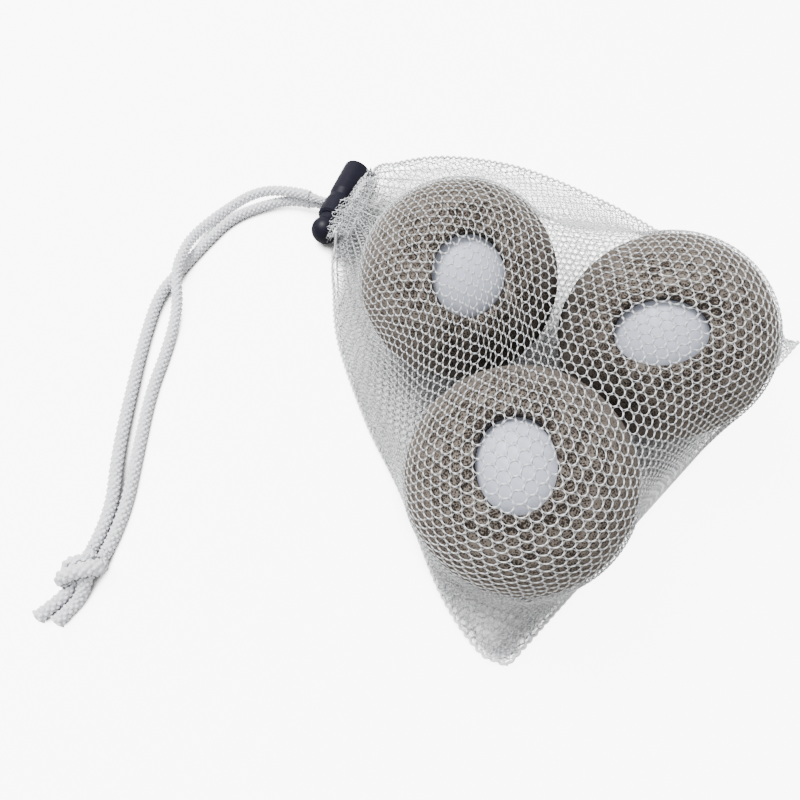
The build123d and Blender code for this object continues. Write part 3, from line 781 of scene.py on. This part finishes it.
def hexagon_net(name, node, grid, width, length, facing, parts=1, shares=(1.0,)):
    """Net on a grid of points that stands for a flat width x length, of whose width the shares, evenly
    apart down it, are spread out, cut into parts across its length whose edges meet. Round each cell
    run 12 points: one at each corner, which with its two neighbours' leaves a tiny eyelet open, and
    one on each thread's crest, shared with the next cell. Inside lies the hole's rim: its distance
    from the cell's middle, at each angle, is 1 over the 8-norm of the cosines to the six edges, each
    divided by that edge's distance. Where the net is drawn together the hole gives way and the thread
    keeps its width. The crest stands up on both faces."""
    def drawn(v):
        return np.interp(v, np.linspace(0, length, len(shares)), shares)

    corner = np.array([(0, PEAK), (-CELL_W / 2, PILLAR_HALF), (-CELL_W / 2, -PILLAR_HALF),
                       (0, -PEAK), (CELL_W / 2, -PILLAR_HALF), (CELL_W / 2, PILLAR_HALF)])
    step = np.arange(STITCHES)[None, :, None] / STITCHES
    ring = (corner[:, None] * (1 - step) + np.roll(corner, -1, axis=0)[:, None] * step).reshape(-1, 2)
    at_corner = np.arange(len(ring)) % STITCHES == 0
    swing = np.arctan2(ring[:, 1], ring[:, 0])
    slant = math.atan2(CELL_W / 2, PEAK - PILLAR_HALF)
    edge_way = np.array([0, slant, math.pi - slant, math.pi, slant - math.pi, -slant])
    edge_off = np.array([HOLE_TO_PILLAR, HOLE_TO_SLANT, HOLE_TO_SLANT] * 2)
    near = np.clip(np.cos(swing[:, None] - edge_way), 0, None) / edge_off
    rim = (near**8).sum(axis=1) ** (-1 / 8)
    hole = np.stack([np.cos(swing), np.sin(swing)], axis=1) * rim[:, None]
    outer = ring - np.where(at_corner[:, None], unit(ring) * EYELET, 0)

    rows, cols = int(length / CELL_ROW), int(width / CELL_W)
    row, col = np.meshgrid(np.arange(rows), np.arange(cols), indexing="ij")
    centre = np.stack([(col + 0.5 * (row % 2) + 0.25) * CELL_W, (row + 0.5) * CELL_ROW], axis=-1).reshape(-1, 2)
    shows = np.abs(centre[:, 0] / width - 0.5) < 0.5 * drawn(centre[:, 1])
    centre, row = centre[shows], row.ravel()[shows]
    count, n = len(centre), len(ring)
    at = np.stack([0.5 + (centre[:, 0] / width - 0.5) / drawn(centre[:, 1]), centre[:, 1] / length], axis=1)
    stretch = [np.linalg.norm(np.gradient(grid, axis=axis), axis=-1)[..., None] * (grid.shape[axis] - 1) / size
               for axis, size in ((1, width), (0, length))]
    stretch = np.concatenate([look_up(s, np.clip(at[:, 0], 0, 1), np.clip(at[:, 1], 0, 1)) for s in stretch], axis=-1)
    stretch[:, 0] /= drawn(centre[:, 1])
    thread = np.abs(ring - hole) / np.clip(stretch, MOST_DRAWN, 1.0)[:, None]
    rims = centre[:, None] + ring - np.sign(ring) * np.minimum(thread, 0.75 * np.abs(ring))
    crests = centre[:, None] + outer
    key = np.round((centre[:, None] + ring) / 1e-5).astype(np.int64)
    key = key[..., 0] * 1000003 + key[..., 1]
    key = np.where(at_corner, -1 - np.arange(count * n).reshape(count, n), key)
    _, first, which, uses = np.unique(key, return_index=True, return_inverse=True, return_counts=True)
    which = which.reshape(count, n)
    places = crests.reshape(-1, 2)[first]
    raised = uses > 1
    flat = np.vstack([rims.reshape(-1, 2), places, places[raised]])
    side = np.concatenate([np.zeros(count * n), raised * 1.0, -np.ones(raised.sum())])

    wobble = WOBBLE * np.stack([np.sin(flat[:, 1] * 720 + 3 * np.sin(flat[:, 0] * 310)),
                                np.sin(flat[:, 0] * 640 + 2 * np.sin(flat[:, 1] * 270))], axis=1)
    u = np.clip(0.5 + ((flat[:, 0] + wobble[:, 0]) / width - 0.5) / drawn(flat[:, 1]), 0, 1)
    v = np.clip((flat[:, 1] + wobble[:, 1]) / length, 0, 1)
    way = unit(look_up(grid_normals(grid), u, v)) * facing
    points = look_up(grid, u, v) + way * (THREAD_RISE * side)[:, None]

    in_top = count * n + which
    under = np.where(raised, count * n + len(places) + np.cumsum(raised) - 1, count * n + np.arange(len(places)))
    in_back = under[which]
    rim_index = np.arange(count * n).reshape(count, n)
    next_rim, next_top, next_back = (np.roll(a, -1, axis=1) for a in (rim_index, in_top, in_back))
    faces = np.vstack([np.stack([rim_index, next_rim, next_top, in_top], axis=-1).reshape(-1, 4),
                       np.stack([in_back, next_back, next_rim, rim_index], axis=-1).reshape(-1, 4)])
    if facing < 0:
        faces = faces[:, ::-1]
    part = np.tile(np.repeat(row * parts // rows, n), 2)
    pieces = []
    for number in range(parts):
        mine = faces[part == number]
        used, mine = np.unique(mine, return_inverse=True)
        mesh = bpy.data.meshes.new(name)
        mesh.vertices.add(len(used))
        mesh.vertices.foreach_set("co", points[used].ravel())
        mesh.loops.add(mine.size)
        mesh.loops.foreach_set("vertex_index", mine.ravel().astype(np.int32))
        mesh.polygons.add(mine.size // 4)
        mesh.polygons.foreach_set("loop_start", np.arange(0, mine.size, 4, dtype=np.int32))
        mesh.update(calc_edges=True)
        mesh.validate()
        mesh.shade_smooth()
        piece = bpy.data.objects.new(name if parts == 1 else f"{name}_{number + 1}", mesh)
        bpy.context.collection.objects.link(piece)
        pieces.append(make_up(piece, "bag", node, net_white))
    return pieces


def even_out(grid):
    """The same surface, its points spaced evenly by length along each row and each column."""
    for axis in (1, 0, 1, 0, 1):
        lines = np.moveaxis(grid, axis, 1)
        step = np.linalg.norm(np.diff(lines, axis=1), axis=-1)
        at = np.concatenate([np.zeros((len(lines), 1)), np.cumsum(step, axis=1)], axis=1)
        want = at[:, -1:] * np.linspace(0, 1, lines.shape[1])
        lines = np.array([[np.interp(w, a, line[:, k]) for k in range(3)] for w, a, line in zip(want, at, lines)])
        grid = np.moveaxis(lines.transpose(0, 2, 1), 1, axis)
    return grid


net_white = yarn_material("net_white", NET_WHITE, NET_FILAMENTS, NET_CLOUDS, NET_PAINTED_GROOVE_SHADE)
fine = [finer(panel, 4) for panel in drape(2200)]
for which, (name, node, facing) in enumerate([("net_top", "front_panel", 1), ("net_back", "back_panel", -1)]):
    grid = fine[which]
    down = np.linspace(0, BAG_L, grid.shape[0])[:, None]
    across = np.linspace(0, BAG_W, grid.shape[1])[None, :]
    share = taken_up(down)
    deep = PLEAT_DEEP * PLEAT * np.sqrt(1 - share**2)
    fold = 1 + np.sin(2 * math.pi * across / PLEAT + 1.2 * np.sin(across * 90 + which * 2) + 8 * down)
    grid = grid + grid_normals(grid) * facing * (deep * fold)[..., None]
    for ball in balls:
        away, length = from_ball(grid, ball)
        grid = ball + away * np.maximum((BALL_R + NET_CLEAR) / np.maximum(length, 1e-9), 1)
    grid[..., 2] = np.maximum(grid[..., 2], GRID_LOWEST)
    grid = even_out(grid)
    row_length = np.linalg.norm(np.diff(grid, axis=1), axis=-1).sum(axis=1)
    spread_out = np.clip(row_length / BAG_W, LEAST_SPREAD, 1)
    pieces = hexagon_net(name, node, grid, BAG_W, BAG_L, facing, 2, spread_out)


# ---- Seams -------------------------------------------------------------------------------------
# Both panels are sewn to each other round three sides and turned right side out, so the cut edges
# lie between them as a narrow strip of net. An overcast thread along the fold makes small teeth.

SEAM_ALLOWANCE = 6
BOTTOM_ALLOWANCE = 10
STITCH_R = 0.00040
STITCH_PITCH = 0.0024
STITCH_SWING = 0.0003
STITCH_RISE = 0.0004


def overcast(name, edge, inward):
    """Thread that swings from the fold to the inside and back once per stitch: its offset is a sine
    of the length, and its height a cosine of the same."""
    path, along = evenly(edge, 0.0004)
    into = unit(np.stack([np.interp(along, np.linspace(0, along[-1], len(inward)), inward[:, k]) for k in range(3)],
                         axis=1))
    phase = 2 * math.pi * along / STITCH_PITCH
    path = path + into * (STITCH_SWING * np.sin(phase))[:, None]
    path[:, 2] = np.maximum(path[:, 2] + STITCH_RISE * np.cos(phase), STITCH_R)
    way = unit(np.gradient(path, axis=0))
    side = unit(np.cross(way, (0, 0, 1.0)))
    top = np.cross(side, way)
    angle = np.linspace(0, 2 * math.pi, 8, endpoint=False)[None, :, None]
    grid = path[:, None] + STITCH_R * (np.cos(angle) * side[:, None] + np.sin(angle) * top[:, None])
    return surface(name, grid, None, round_=True, ends=True)


top, middle = fine[0], (fine[0] + fine[1]) / 2
side_wide = SEAM_ALLOWANCE * BAG_W / (top.shape[1] - 1)
bottom_long = BOTTOM_ALLOWANCE * BAG_L / (top.shape[0] - 1)
for node, strip, edge, inner, wide, long in [
    ("side_seam_left", middle[:, :SEAM_ALLOWANCE + 1], top[:, 0], top[:, 5], side_wide, BAG_L),
    ("side_seam_right", middle[:, -SEAM_ALLOWANCE - 1:], top[:, -1], top[:, -6], side_wide, BAG_L),
    ("bottom_seam", middle[-BOTTOM_ALLOWANCE - 1:], top[-1], top[-6], BAG_W, bottom_long),
]:
    hexagon_net(f"{node}_strip", node, strip, wide, long, 1)
    make_up(overcast(f"{node}_thread", edge, inner - edge), "bag", node, net_white)


# ---- Mouth -------------------------------------------------------------------------------------
# The net's top edge is turned over the draw cord and sewn down as a hem. It is gathered up on the
# cord, and what stands out beyond the stitches is a frill that falls over the lock.

FRILL_W = 0.060
FRILL_L = 0.0125
FRILL_EDGE = [(-0.0212, 0.0036), (-0.0160, 0.0052), (-0.0060, 0.0062), (0.0000, 0.0036), (0.0050, 0.0006),
              (0.0095, -0.0030)]
FRILL_FOLD = 0.0062
FRILL_DEEP = 0.0011
FRILL_BACK = 0.0045
FRILL_LAYERS = [("frill_top", 0.0172, 0.0040, 0.0), ("frill_inner", 0.0160, 0.0050, 2.1),
                ("frill_back", 0.0032, 0.0014, 1.0)]
HEM_FLAT = 0.110
HEM_R = 0.0022
LOWEST = 0.0008


def frill(name, height, drop, seed):
    """One layer of frill, from the hem line out to its own uneven edge: it hangs by drop times the
    square of the share from the hem, and waves by a sine along the mouth that grows outward."""
    u = np.linspace(0, 1, 140)[None, :]
    t = np.linspace(0, 1, 24)[:, None]
    edge = smooth_line(FRILL_EDGE, 140)
    along = (-MOUTH_LEFT + (MOUTH_LEFT + MOUTH_RIGHT) * u) * (1 - t) + edge[None, :, 0] * t
    out = -FRILL_BACK + (edge[None, :, 1] + FRILL_BACK + 0.0005 * np.sin(u * 60 + seed)) * t
    wave = np.sin(2 * math.pi * along / FRILL_FOLD + seed + 0.9 * np.sin(along * 300))
    z = height + (0.3 + 0.7 * t) * FRILL_DEEP * wave - drop * t**2
    flat = np.array(MOUTH_AT) + along[..., None] * np.array(mouth_along) + out[..., None] * np.array(mouth_out)
    flat[..., 2] = np.maximum(z, LOWEST)
    hexagon_net(name, "mouth_frill", flat, FRILL_W, FRILL_L, 1)


def hem():
    """Tube of net round the cord where it goes round the mouth: the radius follows a sine along the
    ring, which makes the gathers."""
    ring = np.linspace(0, 2 * math.pi, 241)
    middle_z, half_z = (LOOP_TOP + LOCK_Z) / 2, (LOOP_TOP - LOCK_Z) / 2
    centre = (np.array(MOUTH_AT) + (HEM_HALF * np.cos(ring))[:, None] * np.array(mouth_along)
              + np.array((0, 0, middle_z)) + (half_z * np.sin(ring))[:, None] * np.array((0, 0, 1.0)))
    outward = unit(centre - np.array(MOUTH_AT) - np.array((0, 0, middle_z)))
    round_ = np.linspace(0, 2 * math.pi, 25)
    size = HEM_R * (1 + 0.22 * np.sin(28 * ring)[:, None] + 0.06 * np.sin(9 * ring)[:, None])
    grid = centre[:, None] + size[..., None] * (
        np.cos(round_)[None, :, None] * outward[:, None] + np.sin(round_)[None, :, None] * np.array(mouth_out))
    grid[..., 2] = np.maximum(grid[..., 2], LOWEST)
    hexagon_net("hem", "mouth_hem", grid, 2 * math.pi * HEM_R, HEM_FLAT, 1)


hem()
for layer in FRILL_LAYERS:
    frill(*layer)


# ---- Table and light ---------------------------------------------------------------------------
# A plain pale table that glows white to the camera alone, under soft light from all round, with
# one large soft lamp overhead. Near and under the bag the glow fades out as a painted shadow.

TABLE_GREY = (0.4, 0.4, 0.4)
TABLE_GLOW = 8.0
SKY = 1.25
KEY_AT = (-0.1, 0.35, 0.75)
KEY_SIZE = 0.30
KEY_WATTS = 14.0

bpy.ops.mesh.primitive_plane_add(size=6)
table = bpy.context.object
table.name = "table"
material, tree, shader = nodes_of("table_white")
shader.inputs["Base Color"].default_value = (*TABLE_GREY, 1)
shader.inputs["Roughness"].default_value = 0.8
shader.inputs["Emission Color"].default_value = (1, 1, 1, 1)
seen = add(tree, "ShaderNodeLightPath").outputs["Is Camera Ray"]
# Painted shadow: ambient occlusion cuts back the camera-only glow, so the table turns darker under and near the bag and
# in the gaps between the balls.
painted_shadow_mask = add(tree, "ShaderNodeAmbientOcclusion", Distance=0.05).outputs["AO"]
painted_shadow_mask = add(tree, "ShaderNodeMapRange", {"interpolation_type": "SMOOTHSTEP"}, Value=painted_shadow_mask, From_Min=0.34,
            From_Max=0.55).outputs["Result"]
glow = add(tree, "ShaderNodeMath", {"operation": "MULTIPLY"}, i0=painted_shadow_mask, i1=seen).outputs["Value"]
glow = add(tree, "ShaderNodeMath", {"operation": "MULTIPLY"}, i0=glow, i1=TABLE_GLOW).outputs["Value"]
tree.links.new(glow, shader.inputs["Emission Strength"])
table.data.materials.append(material)

world = bpy.data.worlds.new("studio")
world.use_nodes = True
world.node_tree.nodes["Background"].inputs["Color"].default_value = (1, 1, 1, 1)
world.node_tree.nodes["Background"].inputs["Strength"].default_value = SKY
bpy.context.scene.world = world


light = bpy.data.lights.new("key", "AREA")
light.size = KEY_SIZE
light.energy = KEY_WATTS
lamp = bpy.data.objects.new("key", light)
lamp.location = KEY_AT
lamp.rotation_euler = (-Vector(KEY_AT)).to_track_quat("-Z", "Y").to_euler()
bpy.context.collection.objects.link(lamp)
